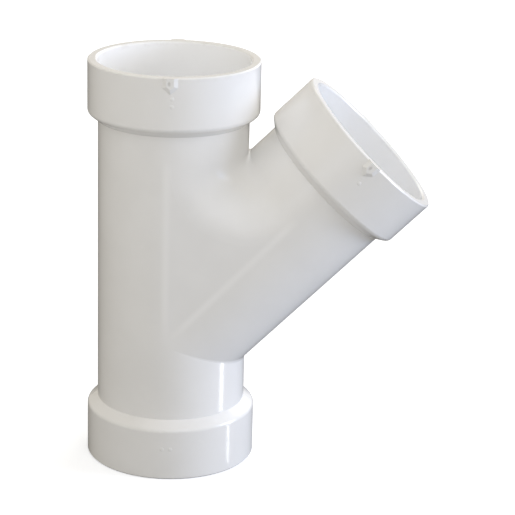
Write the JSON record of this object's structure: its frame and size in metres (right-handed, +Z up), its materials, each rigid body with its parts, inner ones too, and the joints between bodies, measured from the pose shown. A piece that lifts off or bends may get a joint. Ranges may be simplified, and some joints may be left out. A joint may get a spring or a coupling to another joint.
{
  "type": "lateral wye fitting",
  "caption": "Lateral wye drainage fitting: a straight run with a 45 degree branch, flat cheeks between them, and a plain solvent-weld socket hub at each mouth.",
  "frame": {"origin": "centre of the bottom mouth, in the plane of its rim, which the fitting stands on", "axes": "+Z up the run towards the top mouth, +X towards the side that the branch leans to, so the plane of both axes is XZ"},
  "size_m": [0.1354, 0.0698, 0.1637],
  "materials": {
    "white_plastic": "moulded white, semi-gloss"
  },
  "bodies": {
    "root": {"wye_fitting": "white_plastic"}
  },
  "joints": []
}
